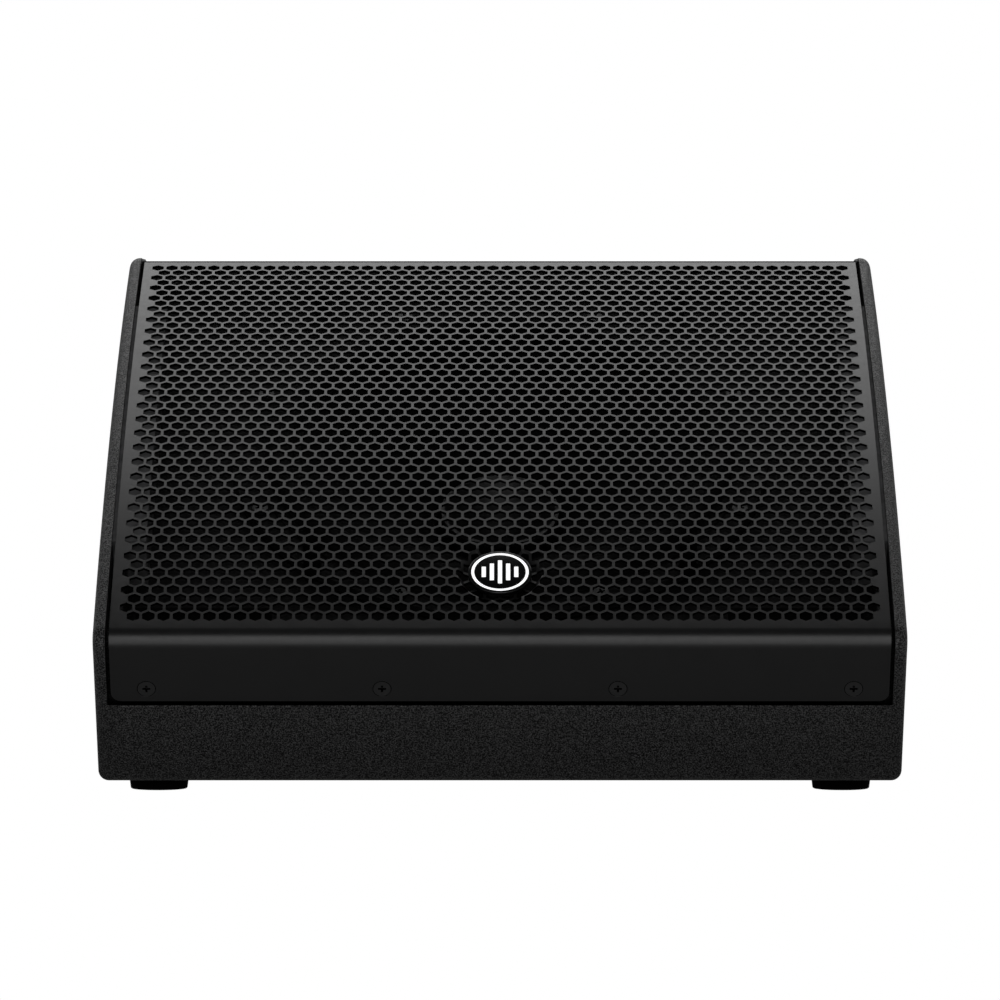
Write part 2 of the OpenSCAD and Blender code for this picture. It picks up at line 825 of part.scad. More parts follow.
module ac_inlet() color(plastic) on_amp(inlet_x, power_z) {
    difference() {
        union() {
            block(50, 28, 0, 2);
            block(29, 22, -18, 0);
        }
        block(25, 19, -16, 2 + cut);
        for (side = [-1, 1]) translate([side * 20, 0, 0]) flush_hole_up(1.25, 2.4, 2);
    }
    for (x = [-7, 0, 7]) translate([x, x == 0 ? 5 : 2.5, 0]) block(2, 4, -16.5, -2);
}

module light_places() for (z = [-5, 0, 5]) on_amp(button_x - 22, knob_z + z) children();

module status_lights() color("limegreen") light_places() {
    rod(1.5, -4, 0.4);
    rod(1.1, 0.4, 1);
}

module jack_screw_places() {
    for (x = jack_x, corner = [-1, 1])
        on_amp(x, jack_z) translate([corner * 10, -corner * 12.5, 0]) children();
    for (side = [-1, 1]) on_amp(inlet_x, power_z) translate([side * 20, 0, 0]) children();
}

module jack_screws() color("silver") jack_screw_places() translate([0, 0, 2])
    flush_screw(1.25, 2.4, 1.2, 7);

side_panel_left();
side_panel_right();
top_panel();
bottom_panel();
rear_panel();
kick_panel();
baffle();
port_duct_left();
port_duct_right();
corner_battens();
grille();
grille_screws();
grille_inserts();
grille_posts();
side_pad_left();
side_pad_right();
badge_disc();
badge_emblem();
badge_clip();
foot_front_left();
foot_front_right();
foot_rear_left();
foot_rear_right();
foot_screws();
handle_cup();
handle_screws();
pole_socket();
pole_socket_screws();
basket();
driver_gasket();
surround();
cone();
voice_coil();
spider();
magnet();
top_plate();
pole_yoke();
hf_horn();
compression_driver();
driver_bolts();
amp_panel();
amp_panel_screws();
heat_sink();
amp_board();
power_capacitors();
transformer();
input_jack_1();
input_jack_2();
link_output();
jack_latch_1();
jack_latch_2();
level_knob_1();
level_knob_2();
level_pots();
contour_button();
power_rocker();
switch_housing();
ac_inlet();
status_lights();
jack_screws();
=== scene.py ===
"""Looks of the stage monitor wedge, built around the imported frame. All sizes are in metres."""
import json
import math

import bpy
import numpy as np
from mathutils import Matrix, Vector
from mathutils.geometry import delaunay_2d_cdt


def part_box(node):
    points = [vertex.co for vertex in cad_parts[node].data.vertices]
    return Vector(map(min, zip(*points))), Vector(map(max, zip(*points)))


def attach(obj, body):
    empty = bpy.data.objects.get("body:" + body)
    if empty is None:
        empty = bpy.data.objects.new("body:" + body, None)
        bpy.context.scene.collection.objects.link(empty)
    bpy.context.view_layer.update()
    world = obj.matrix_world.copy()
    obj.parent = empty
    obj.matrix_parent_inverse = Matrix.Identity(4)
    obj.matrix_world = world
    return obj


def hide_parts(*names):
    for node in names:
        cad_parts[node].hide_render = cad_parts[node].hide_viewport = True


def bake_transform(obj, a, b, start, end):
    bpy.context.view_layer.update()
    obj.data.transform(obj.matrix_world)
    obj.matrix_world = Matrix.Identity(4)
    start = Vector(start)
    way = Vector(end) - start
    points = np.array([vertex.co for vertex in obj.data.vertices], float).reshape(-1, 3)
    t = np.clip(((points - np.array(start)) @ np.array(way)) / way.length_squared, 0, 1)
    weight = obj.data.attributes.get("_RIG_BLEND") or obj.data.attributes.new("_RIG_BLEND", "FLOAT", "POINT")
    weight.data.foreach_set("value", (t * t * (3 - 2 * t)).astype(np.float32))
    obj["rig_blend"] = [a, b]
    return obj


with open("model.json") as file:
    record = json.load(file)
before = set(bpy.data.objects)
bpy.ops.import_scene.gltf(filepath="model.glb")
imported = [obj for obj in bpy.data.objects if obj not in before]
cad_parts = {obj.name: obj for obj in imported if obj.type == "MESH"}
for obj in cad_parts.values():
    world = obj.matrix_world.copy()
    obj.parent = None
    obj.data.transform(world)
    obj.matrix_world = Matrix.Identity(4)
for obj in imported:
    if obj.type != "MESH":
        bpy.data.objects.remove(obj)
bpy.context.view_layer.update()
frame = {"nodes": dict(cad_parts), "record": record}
nodes = frame["nodes"]

# ---- sizes ------------------------------------------------------------------

side_low, side_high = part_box("side_panel_right")
grille_low, grille_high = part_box("grille")
HALF_W, FRONT, REAR = side_high.x, side_low.y, side_high.y
BASE, TOP = side_low.z, side_high.z
BOARD = side_high.x - side_low.x
RIM_W = 0.0072                  # side panel rim beside the grille
RIM_PROUD = 0.0018              # how far that rim stands above the grille
BEND_R = 0.010                  # outer radius of the grille's bend at the nose
CURVE_R = 1.362                 # radius of the grille's long curve
NOSE_SLOPE = math.radians(40.4)
KICK_LEAN = math.radians(31.8)
NOSE = (FRONT + BEND_R + RIM_PROUD, 0.0883)
CURVE = (NOSE[0] + (CURVE_R - BEND_R) * math.sin(NOSE_SLOPE),
         NOSE[1] - (CURVE_R - BEND_R) * math.cos(NOSE_SLOPE))
SHEET = 0.0015
LIP_Z = grille_low.z
LIP_GAP = 0.0022
LIP_BACK = SHEET + 0.0007
KICK_TOP = NOSE[1] - 0.004
TOP_DROP = 0.002
CORNER_R = 0.008                # corners of the side panel seen from the side
EDGE_R = 0.006                  # rounding along the side panel's outer edge

PITCH = 0.00859                 # distance between neighbouring holes
HOLE = 0.0068                   # hole size across its flats
ROWS = 52
ROW_STEP = 0.0074
ROW_START = 0.00935             # from the bend up to the lowest row
LONG_ROW = 50                   # holes in the odd rows; even rows have one fewer
BADGE_ROW = 47
BADGE_R, BADGE_T = 0.018, 0.003
BADGE_LIFT = 0.00045            # how far its face stands above the sheet
BADGE_EDGE = 0.0005             # rounding of its edge
PEG_R, PEG_FOOT_R = 0.006, 0.003                # the peg behind it
RING_IN, RING_OUT = 0.0146, 0.0163              # the mark's ring
BAR_STEP, BAR_W = 0.0046, 0.0024                # its five bars
BAR_TALL, BAR_LOSS = 0.020, 0.0055              # the middle bar, and what each next one loses
BAFFLE_LEAN = math.radians(34.5)
AXIS = Vector((0, -math.sin(BAFFLE_LEAN), math.cos(BAFFLE_LEAN)))      # the driver's
DIMPLE_R = 0.0245               # rim of the pressing that the badge sits in
DIMPLE_DEPTH = 0.004
DIMPLE_WALL = math.radians(52)
DIMPLE_FOLD = 0.0008            # bend radius at the rim
DIMPLE_FILLET = 0.0012          # bend radius at the floor
GROOVE_DEPTH = 0.008            # shadow groove behind the lip's lower edge
GROOVE_RISE = 0.0015
SCREW_HOLE_R = 0.00525          # seats of the lip screws
SCREW_HOLE_EDGE = 0.00015
SCREW_SIDES = 48
SCREW_X = (-0.199, -0.0664, 0.0664, 0.199)
SCREW_Z = 0.0607


def kick_point(z, lift):
    """Depth and height of a point in front of the kick plane, at height z."""
    reach = BEND_R + lift + math.sin(KICK_LEAN) * (z - NOSE[1])
    return (NOSE[0] - reach / math.cos(KICK_LEAN), z)


def arc(centre, radius, start, end, steps):
    """Points along an arc, both ends included. Angles are in radians."""
    turns = [start + (end - start) * k / steps for k in range(steps + 1)]
    return [(centre[0] + radius * math.cos(t), centre[1] + radius * math.sin(t)) for t in turns]


def circle(centre, radius, steps=64):
    """Points around a full circle."""
    return arc(centre, radius, 0, 2 * math.pi * (steps - 1) / steps, steps - 1)


# ---- materials --------------------------------------------------------------

def map_range(tree, value, low, high, new_low=0.0, new_high=1.0):
    """Maps the band low..high of a value onto new_low..new_high."""
    node = tree.nodes.new("ShaderNodeMapRange")
    for socket, number in (("From Min", low), ("From Max", high),
                           ("To Min", new_low), ("To Max", new_high)):
        node.inputs[socket].default_value = number
    tree.links.new(value, node.inputs["Value"])
    return node.outputs["Result"]


def combine(tree, operation, first, second):
    """A Math node that joins two values."""
    node = tree.nodes.new("ShaderNodeMath")
    node.operation = operation
    tree.links.new(first, node.inputs[0])
    tree.links.new(second, node.inputs[1])
    return node.outputs[0]


def show_and_light(tree, output, shown, lit):
    """Shows one shader to the camera, and gives the other to every other ray."""
    path = tree.nodes.new("ShaderNodeLightPath")
    mix = tree.nodes.new("ShaderNodeMixShader")
    tree.links.new(path.outputs["Is Camera Ray"], mix.inputs[0])
    tree.links.new(lit.outputs[0], mix.inputs[1])
    tree.links.new(shown.outputs[0], mix.inputs[2])
    tree.links.new(mix.outputs[0], output.inputs["Surface"])


class Look:
    """A Principled material with a few procedural layers."""

    def __init__(self, name, colour, roughness, metallic=0.0, specular=0.5):
        self.material = bpy.data.materials.new(name)
        self.material.use_nodes = True
        self.tree = self.material.node_tree
        self.shader = self.tree.nodes["Principled BSDF"]
        self.place = self.new("ShaderNodeTexCoord").outputs["Object"]
        self.put(self.shader, "Base Color", (*colour, 1))
        self.put(self.shader, "Roughness", roughness)
        self.put(self.shader, "Metallic", metallic)
        self.put(self.shader, "Specular IOR Level", specular)
        self.height = None

    def new(self, kind):
        return self.tree.nodes.new(kind)

    @staticmethod
    def put(node, socket, value):
        node.inputs[socket].default_value = value

    def link(self, output, node, socket):
        self.tree.links.new(output, node.inputs[socket])

    def noise(self, size, detail=2.0, rough=0.5):
        """Noise with features of about that size, from 0 to 1."""
        node = self.new("ShaderNodeTexNoise")
        self.put(node, "Scale", 1 / size)
        self.put(node, "Detail", detail)
        self.put(node, "Roughness", rough)
        self.link(self.place, node, "Vector")
        return node.outputs["Fac"]

    def cells(self, size, feature="F1"):
        """Rounded cells of about that size."""
        node = self.new("ShaderNodeTexVoronoi")
        node.feature = feature
        self.put(node, "Scale", 1 / size)
        self.link(self.place, node, "Vector")
        return node.outputs["Distance"]

    def spread(self, value, low, high, new_low=0.0, new_high=1.0):
        return map_range(self.tree, value, low, high, new_low, new_high)

    def painted_shade_by_occlusion(self, reach, low, high):
        """1 where a point is open to its surroundings, 0 in gaps and holes: a mask for painted shade in
        those gaps and holes.
        """
        node = self.new("ShaderNodeAmbientOcclusion")
        node.samples = 8
        self.put(node, "Distance", reach)
        return self.spread(node.outputs["AO"], low, high)

    def times(self, first, second):
        """The product of a value and a second value or plain number."""
        node = self.new("ShaderNodeMath")
        node.operation = "MULTIPLY"
        self.link(first, node, 0)
        if isinstance(second, float):
            node.inputs[1].default_value = second
        else:
            self.link(second, node, 1)
        return node.outputs[0]

    def roughness(self, value, low, high):
        """Makes the surface rougher from low to high as value goes from 0.3 to 0.7."""
        self.link(self.spread(value, 0.3, 0.7, low, high), self.shader, "Roughness")

    def colour(self, value, dark, light):
        """Colours the surface from dark to light as value goes from 0.3 to 0.7."""
        node = self.new("ShaderNodeMix")
        node.data_type = "RGBA"
        self.link(self.spread(value, 0.3, 0.7), node, 0)
        node.inputs[6].default_value = (*dark, 1)
        node.inputs[7].default_value = (*light, 1)
        self.link(node.outputs[2], self.shader, "Base Color")

    def bump(self, value, depth, strength=1.0):
        """Adds a layer of relief of that depth, in metres."""
        node = self.new("ShaderNodeBump")
        self.put(node, "Distance", depth)
        self.put(node, "Strength", strength)
        self.link(value, node, "Height")
        if self.height is not None:
            self.link(self.height, node, "Normal")
        self.height = node.outputs["Normal"]
        self.link(self.height, self.shader, "Normal")


def grey(value):
    """A near-neutral colour, slightly cool."""
    return (value, value, value * 1.02)


def make_cabinet_paint():
    """Rough textured paint: bright specks on black, with painted shade that darkens its colour and its
    reflection in gaps and recesses.
    """
    look = Look("cabinet_paint", grey(0.012), 0.55)
    grain = look.noise(0.00078, detail=2.0, rough=0.55)
    # Painted shade: occlusion darkens the specks and the reflection in gaps and recesses.
    painted_shade_mask = look.painted_shade_by_occlusion(0.008, 0.35, 0.85)
    specks_and_painted_shade = look.times(look.spread(grain, 0.42, 0.72), painted_shade_mask)
    look.colour(look.spread(specks_and_painted_shade, 0.0, 1.0, 0.3, 0.7), grey(0.0008), grey(0.026))
    look.link(look.times(look.spread(grain, 0.42, 0.64, 0.15, 1.15), painted_shade_mask),
              look.shader, "Specular IOR Level")
    look.roughness(look.noise(0.002), 0.48, 0.66)
    look.bump(look.noise(0.0036, detail=1.0), 0.0002)
    look.bump(grain, 0.0005)
    return look.material


def make_matt(name, tone, size=0.001, depth=0.00004, specular=0.1):
    """A dull black surface."""
    look = Look(name, grey(tone), 0.8, specular=specular)
    look.colour(look.noise(size * 4, detail=3.0), grey(tone * 0.7), grey(tone * 1.3))
    look.roughness(look.noise(size * 3), 0.72, 0.9)
    look.bump(look.noise(size), depth)
    return look.material


def make_sheet_paint(name, tone, roughness, specular, reach=None):
    """Fine satin paint, with painted shade that turns it black inside holes and slots: by reach, or by the
    mesh's depth.
    """
    look = Look(name, grey(tone), roughness)
    # Painted shade: the mask goes black inside holes, slots and on the sheet's back, in colour and in
    # reflection.
    if reach:
        painted_shade_mask = look.painted_shade_by_occlusion(reach, 0.62, 0.92)
    else:
        depth = look.new("ShaderNodeAttribute")
        depth.attribute_name = "depth"
        painted_shade_mask = look.spread(depth.outputs["Fac"], 0.0, 0.8, 1.0, 0.02)
    shade = look.times(painted_shade_mask, look.spread(look.noise(0.02), 0.3, 0.7, 0.85, 1.0))
    look.colour(look.spread(shade, 0.0, 1.0, 0.3, 0.7), grey(0.0004), grey(tone))
    look.link(look.times(painted_shade_mask, specular), look.shader, "Specular IOR Level")
    look.roughness(look.noise(0.004, detail=3.0), roughness * 0.94, roughness * 1.12)
    look.bump(look.noise(0.0012, detail=2.0), 0.00003)
    return look.material


def make_plastic(name, tone, roughness, size=0.0006, depth=0.00002):
    """Moulded or painted plastic with a fine grain."""
    look = Look(name, grey(tone), roughness)
    look.colour(look.noise(0.012, detail=3.0), grey(tone * 0.8), grey(tone * 1.25))
    look.roughness(look.noise(0.003, detail=2.0), roughness * 0.88, roughness * 1.12)
    look.bump(look.noise(size), depth)
    return look.material


def make_metal(name, dark, light, roughness, brushed=False):
    """Bare metal with a fine grain, shallower where brushed."""
    look = Look(name, light, roughness, metallic=1.0)
    grain = look.noise(0.0012, detail=4.0)
    look.colour(grain, dark, light)
    look.roughness(look.noise(0.0025, detail=3.0), roughness * 0.8, roughness * 1.25)
    look.bump(grain, 0.000012 if brushed else 0.00002)
    return look.material


def make_wood():
    look = Look("raw_wood", (0.5, 0.34, 0.18), 0.6)
    wave = look.new("ShaderNodeTexWave")
    look.put(wave, "Scale", 60)
    look.put(wave, "Distortion", 6)
    look.put(wave, "Detail", 3)
    look.link(look.place, wave, "Vector")
    look.colour(wave.outputs["Fac"], (0.36, 0.22, 0.11), (0.62, 0.46, 0.28))
    look.bump(wave.outputs["Fac"], 0.0001)
    return look.material


def make_cloth():
    look = Look("spider_cloth", (0.6, 0.42, 0.16), 0.85)
    weave = look.noise(0.0007, detail=1.0)
    look.colour(weave, (0.42, 0.28, 0.10), (0.72, 0.54, 0.24))
    look.bump(weave, 0.0002)
    return look.material


def make_board():
    look = Look("circuit_board", (0.02, 0.16, 0.06), 0.35)
    tracks = look.cells(0.004, "DISTANCE_TO_EDGE")
    look.colour(look.spread(tracks, 0.0, 0.2), (0.05, 0.26, 0.10), (0.01, 0.10, 0.04))
    look.bump(tracks, 0.00005)
    return look.material


def make_lens():
    look = Look("green_lens", (0.06, 0.6, 0.14), 0.2)
    look.colour(look.noise(0.001), (0.04, 0.45, 0.10), (0.10, 0.75, 0.20))
    look.bump(look.noise(0.0005), 0.00001)
    return look.material


def make_print_with_painted_glow():
    look = Look("white_print", (0.85, 0.85, 0.85), 0.35)
    look.colour(look.noise(0.004), (0.82, 0.82, 0.82), (0.92, 0.92, 0.92))
    # Painted light: the print glows by its own emission, so it stays bright white however it is lit.
    look.put(look.shader, "Emission Color", (1, 1, 1, 1))
    look.put(look.shader, "Emission Strength", 0.7)
    look.bump(look.noise(0.0008), 0.000008)
    return look.material


LOOKS = {
    "cabinet_paint": make_cabinet_paint(),
    "baffle_paint": make_matt("baffle_paint", 0.0035, 0.0012, 0.0002, 0.2),
    "panel_paint": make_plastic("panel_paint", 0.014, 0.45, 0.0008, 0.00003),
    "coil_former": make_matt("coil_former", 0.004),
    "grille_paint": make_sheet_paint("grille_paint", 0.0075, 0.34, 0.45),
    "raw_wood": make_wood(),
    "black_screw": make_sheet_paint("black_screw", 0.012, 0.36, 0.5, 0.002),
    "brass": make_metal("brass", (0.55, 0.36, 0.12), (0.80, 0.58, 0.24), 0.3),
    "black_rubber": make_matt("black_rubber", 0.0012, 0.0012, 0.00005, 0.04),
    "grey_pad": make_matt("grey_pad", 0.075, 0.0015, 0.00004, 0.2),
    "black_plastic": make_plastic("black_plastic", 0.010, 0.5),
    "gloss_black": make_plastic("gloss_black", 0.0015, 0.13, 0.0008, 0.000004),
    "white_print": make_print_with_painted_glow(),
    "bright_steel": make_metal("bright_steel", (0.22, 0.22, 0.23), (0.36, 0.36, 0.37), 0.35, True),
    "cast_alloy": make_matt("cast_alloy", 0.003, 0.001, 0.00006, 0.2),
    "heat_sink_alloy": make_metal("heat_sink_alloy", (0.02, 0.02, 0.022), (0.05, 0.05, 0.055),
                                  0.42, True),
    "surround_rubber": make_matt("surround_rubber", 0.003, 0.001, 0.00003, 0.15),
    "cone_paper": make_matt("cone_paper", 0.003, 0.0014, 0.0001),
    "copper": make_metal("copper", (0.55, 0.22, 0.08), (0.80, 0.42, 0.20), 0.35),
    "spider_cloth": make_cloth(),
    "ferrite": make_plastic("ferrite", 0.04, 0.55, 0.0015, 0.00005),
    "circuit_board": make_board(),
    "capacitor_sleeve": make_plastic("capacitor_sleeve", 0.02, 0.3),
    "satin_nickel": make_metal("satin_nickel", (0.50, 0.49, 0.46), (0.70, 0.69, 0.66), 0.28),
    "grey_button": make_plastic("grey_button", 0.22, 0.5),
    "green_lens": make_lens(),
}

# ---- mesh helpers -----------------------------------------------------------


def smooth(mesh, angle=35):
    """Shades a mesh smooth, with edges sharper than the angle kept crisp."""
    mesh.polygons.foreach_set("use_smooth", [True] * len(mesh.polygons))
    mesh.set_sharp_from_angle(angle=math.radians(angle))


def add_piece(name, verts, faces, slot, body, *replaced):
    """Makes a mesh piece, gives it its material and body, and hides the nodes it stands for."""
    mesh = bpy.data.meshes.new(name)
    mesh.from_pydata([tuple(v) for v in verts], [], faces)
    mesh.validate()
    mesh.update()
    smooth(mesh)
    piece = bpy.data.objects.new(name, mesh)
    bpy.context.scene.collection.objects.link(piece)
    piece.data.materials.append(LOOKS[slot])
    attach(piece, body)
    if replaced:
        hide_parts(*replaced)
    return piece


def inside(point, loop):
    """True if the point lies inside the closed loop."""
    x, y = point
    hit = False
    for (x0, y0), (x1, y1) in zip(loop, loop[1:] + loop[:1]):
        if (y0 > y) != (y1 > y) and x < (x1 - x0) * (y - y0) / (y1 - y0) + x0:
            hit = not hit
    return hit


def fill(outer, holes=()):
    """Triangles, as index triples into outer + holes, that fill a loop around its holes."""
    points, edges = [], []
    for loop in [outer, *holes]:
        first = len(points)
        points += loop
        edges += [(first + k, first + (k + 1) % len(loop)) for k in range(len(loop))]
    out, _, tris, origin, _, _ = delaunay_2d_cdt([Vector(p) for p in points], edges, [], 0, 1e-7)
    index = [o[0] if o else None for o in origin]
    kept = []
    for tri in tris:
        centre = tuple(sum(out[k][axis] for k in tri) / 3 for axis in (0, 1))
        if inside(centre, outer) and not any(inside(centre, hole) for hole in holes):
            a, b, c = (index[k] for k in tri)
            turn = ((points[b][0] - points[a][0]) * (points[c][1] - points[a][1])
                    - (points[b][1] - points[a][1]) * (points[c][0] - points[a][0]))
            kept.append((a, b, c) if turn > 0 else (a, c, b))
    return kept


class Shell:
    """A closed mesh put together from loops of points."""

    def __init__(self):
        self.verts, self.faces = [], []

    def loop(self, points):
        first = len(self.verts)
        self.verts += points
        return list(range(first, first + len(points)))

    def bridge(self, a, b, flip=False):
        """Joins two loops of equal length. Faces look outwards if a comes before b."""
        count = len(a)
        for k in range(count):
            quad = (a[k], a[(k + 1) % count], b[(k + 1) % count], b[k])
            self.faces.append(quad[::-1] if flip else quad)

    def cap(self, flat, outer, holes=(), flip=False):
        """Fills a flat face. flat maps a vertex to two coordinates."""
        ids = list(outer) + [k for hole in holes for k in hole]
        tris = fill([flat(self.verts[k]) for k in outer],
                    [[flat(self.verts[k]) for k in hole] for hole in holes])
        for tri in tris:
            face = tuple(ids[k] for k in tri)
            self.faces.append(face[::-1] if flip else face)


# ---- grille -----------------------------------------------------------------

BEND_TURN = math.radians(90) + KICK_LEAN - NOSE_SLOPE
BEND_LEN = BEND_R * BEND_TURN
LIP_TAN_Z = NOSE[1] - BEND_R * math.sin(KICK_LEAN)
LIP_LEN = (LIP_TAN_Z - LIP_Z) / math.cos(KICK_LEAN)
SHEET_LOW = -BEND_LEN - LIP_LEN
GRILLE_HALF = grille_high.x - 0.0006
STRETCH = ROW_STEP / (PITCH * math.sqrt(3) / 2)
CELL_R = PITCH / math.sqrt(3)
HOLE_R = HOLE / math.sqrt(3)
HOLE_EDGE = 0.00015             # rounding of the hole edges
SHEET_TOP = ROW_START + (ROWS - 1) * ROW_STEP + 0.0088


def row_s(row):
    """Distance of a hole row above the bend, along the sheet; row 1 is the top one."""
    return ROW_START + (ROWS - row) * ROW_STEP


def row_holes(row):
    count = LONG_ROW if row % 2 else LONG_ROW - 1
    return [(k - (count - 1) / 2) * PITCH for k in range(count)]


BADGE_S = row_s(BADGE_ROW)


def press_profile(steps=4):
    """Radii and depths of the pressing for the badge, from its rim to its floor."""
    turns = [DIMPLE_WALL * k / steps for k in range(steps + 1)]
    rim = [(DIMPLE_R - DIMPLE_FOLD * math.sin(t), DIMPLE_FOLD * (1 - math.cos(t)))
           for t in turns]
    wall_end = DIMPLE_DEPTH - DIMPLE_FILLET * (1 - math.cos(DIMPLE_WALL))
    foot_r = rim[-1][0] - (wall_end - rim[-1][1]) / math.tan(DIMPLE_WALL)
    floor_r = foot_r - DIMPLE_FILLET * math.sin(DIMPLE_WALL)
    return rim + [(floor_r + DIMPLE_FILLET * math.sin(t),
                   DIMPLE_DEPTH - DIMPLE_FILLET * (1 - math.cos(t))) for t in turns[::-1]]


PRESS = press_profile()


def dimple(x, s):
    """How far the sheet is pressed in at a point, for the badge."""
    radii, depths = zip(*PRESS[::-1])
    return np.interp(np.hypot(x, s - BADGE_S), radii, depths)


def bend_sheet(points):
    """Maps points (across, along, out) of the flat sheet onto the bent grille."""
    x, s, n = np.array(points, float).T
    n = n - dimple(x, s)
    slope = NOSE_SLOPE - s / CURVE_R
    on_curve = np.stack([CURVE[0] - (CURVE_R + n) * np.sin(slope),
                         CURVE[1] + (CURVE_R + n) * np.cos(slope)])
    turn = math.radians(90) + NOSE_SLOPE + np.clip(-s / BEND_R, 0, BEND_TURN)
    below = np.clip(-s - BEND_LEN, 0, None)
    on_bend = np.stack([NOSE[0] + (BEND_R + n) * np.cos(turn) + below * math.sin(KICK_LEAN),
                        NOSE[1] + (BEND_R + n) * np.sin(turn) - below * math.cos(KICK_LEAN)])
    y, z = np.where(s > 0, on_curve, on_bend)
    return np.stack([x, y, z], 1)


class Sheet:
    """The flat perforated sheet, with vertices shared by their place and level."""

    def __init__(self):
        self.points, self.keys, self.faces = [], {}, []

    def at(self, x, s, n=0.0):
        key = (round(x * 1e6), round(s * 1e6), round(n * 1e6))
        if key not in self.keys:
            self.keys[key] = len(self.points)
            self.points.append((x, s, n))
        return self.keys[key]

    def both(self, corners):
        """Adds a face on the front and its twin on the back."""
        self.faces.append([self.at(x, s) for x, s in corners])
        self.faces.append([self.at(x, s, -SHEET) for x, s in reversed(corners)])


def hexagon(x, s, radius):
    turns = [math.radians(90 + 60 * k) for k in range(6)]
    return [(x + radius * math.cos(t), s + radius * STRETCH * math.sin(t)) for t in turns]


def punch_hole(sheet, x, s):
    """One cell of the perforated field: a hexagonal hole with a softened edge."""
    cell = hexagon(x, s, CELL_R)
    wide = hexagon(x, s, HOLE_R + HOLE_EDGE)
    hole = hexagon(x, s, HOLE_R)
    rings = [
        [sheet.at(*p) for p in cell],
        [sheet.at(*p) for p in wide],
        [sheet.at(*p, -HOLE_EDGE) for p in hole],
        [sheet.at(*p, -SHEET) for p in hole],
        [sheet.at(*p, -SHEET) for p in cell],
    ]
    for outer, inner in zip(rings, rings[1:]):
        for k in range(6):
            j = (k + 1) % 6
            sheet.faces.append([outer[k], outer[j], inner[j], inner[k]])


def zigzag(row, side):
    """The edge of the field above (side 1) or below (side -1) a row, from left to right."""
    holes, s = row_holes(row), row_s(row)
    high, low = (s + side * part * CELL_R * STRETCH for part in (1, 0.5))
    chain = [(holes[0] - PITCH / 2, low)]
    for x in holes:
        chain += [(x, high), (x + PITCH / 2, low)]
    return chain


def add_margins(sheet):
    """The plain borders beside, above and below the field."""
    for side in (-1, 1):
        chain = []
        for row in range(ROWS, 0, -1):
            edge = side * (abs(row_holes(row)[0]) + PITCH / 2)
            half = CELL_R * STRETCH / 2
            chain += [(edge, row_s(row) - half), (edge, row_s(row) + half)]
        for low, high in zip(chain, chain[1:]):
            quad = [(side * GRILLE_HALF, low[1]), low, high, (side * GRILLE_HALF, high[1])]
            sheet.both(quad if side < 0 else quad[::-1])
    top = zigzag(1, 1)
    top = [(-GRILLE_HALF, top[0][1]), *top, (GRILLE_HALF, top[-1][1])]
    for left, right in zip(top, top[1:]):
        sheet.both([left, right, (right[0], SHEET_TOP), (left[0], SHEET_TOP)])
    low = zigzag(ROWS, -1)
    low = [(-GRILLE_HALF, low[0][1]), *low, (GRILLE_HALF, low[-1][1])]
    steps = [0.0] + [-BEND_LEN * k / 16 for k in range(1, 17)] + [-BEND_LEN - 0.001]
    for left, right in zip(low, low[1:]):
        sheet.both([(left[0], 0), (right[0], 0), right, left])
        for upper, lower in zip(steps, steps[1:]):
            sheet.both([(left[0], lower), (right[0], lower), (right[0], upper), (left[0], upper)])
    return [x for x, _ in low], steps[-1]


def add_lip(sheet, columns, top_s):
    """The flat lip with its round lower corners and four countersunk holes."""
    corner = 0.0058
    edge = arc((GRILLE_HALF - corner, SHEET_LOW + corner), corner, 0, -math.pi / 2, 8)
    right = [(GRILLE_HALF, top_s - 0.010)] + edge
    outer = ([(x, top_s) for x in columns] + right + [(-x, s) for x, s in reversed(right)])
    outer = outer[::-1]
    screw_s = -BEND_LEN - (LIP_TAN_Z - SCREW_Z) / math.cos(KICK_LEAN)
    levels = ((0.0, SCREW_HOLE_R + SCREW_HOLE_EDGE), (-SCREW_HOLE_EDGE, SCREW_HOLE_R),
              (-SHEET, SCREW_HOLE_R))
    for level, radius in (levels[0], levels[-1]):
        holes = [circle((x, screw_s), radius, SCREW_SIDES) for x in SCREW_X]
        ids = [sheet.at(x, s, level) for loop in [outer, *holes] for x, s in loop]
        for tri in fill(outer, holes):
            face = [ids[k] for k in tri]
            sheet.faces.append(face if level == 0 else face[::-1])
    for x in SCREW_X:
        rings = [[sheet.at(*p, level) for p in circle((x, screw_s), radius, SCREW_SIDES)]
                 for level, radius in levels]
        for upper, lower in zip(rings, rings[1:]):
            for k in range(SCREW_SIDES):
                j = (k + 1) % SCREW_SIDES
                sheet.faces.append([upper[k], upper[j], lower[j], lower[k]])


def close_edges(sheet):
    """Walls between the front's and the back's free edges."""
    used = {}
    for face in sheet.faces:
        for a, b in zip(face, face[1:] + face[:1]):
            used[(a, b)] = used.get((a, b), 0) + 1
    for a, b in [edge for edge in used if edge[::-1] not in used]:
        (xa, sa, na), (xb, sb, nb) = sheet.points[a], sheet.points[b]
        if na == nb == 0.0:
            sheet.faces.append([b, a, sheet.at(xa, sa, -SHEET), sheet.at(xb, sb, -SHEET)])


def in_hole(x, s, cells):
    """True if the point lies in the hole of one of the cells."""
    for cx, cs in cells:
        across, along = abs(x - cx), abs(s - cs) / STRETCH
        if max(across, across / 2 + along * math.sqrt(3) / 2) < HOLE / 2:
            return True
    return False


def outline_of(cells):
    """The closed outline around a group of cells, as points."""
    sides = {}
    for x, s in cells:
        corners = hexagon(x, s, CELL_R)
        keys = [(round(a * 1e6), round(b * 1e6)) for a, b in corners]
        for k in range(6):
            sides[(keys[k], keys[(k + 1) % 6])] = corners[k]
    free = {a: (b, point) for (a, b), point in sides.items() if (b, a) not in sides}
    first = next(iter(free))
    loop, key = [], first
    while not loop or key != first:
        key, point = free[key]
        loop.append(point)
    return loop


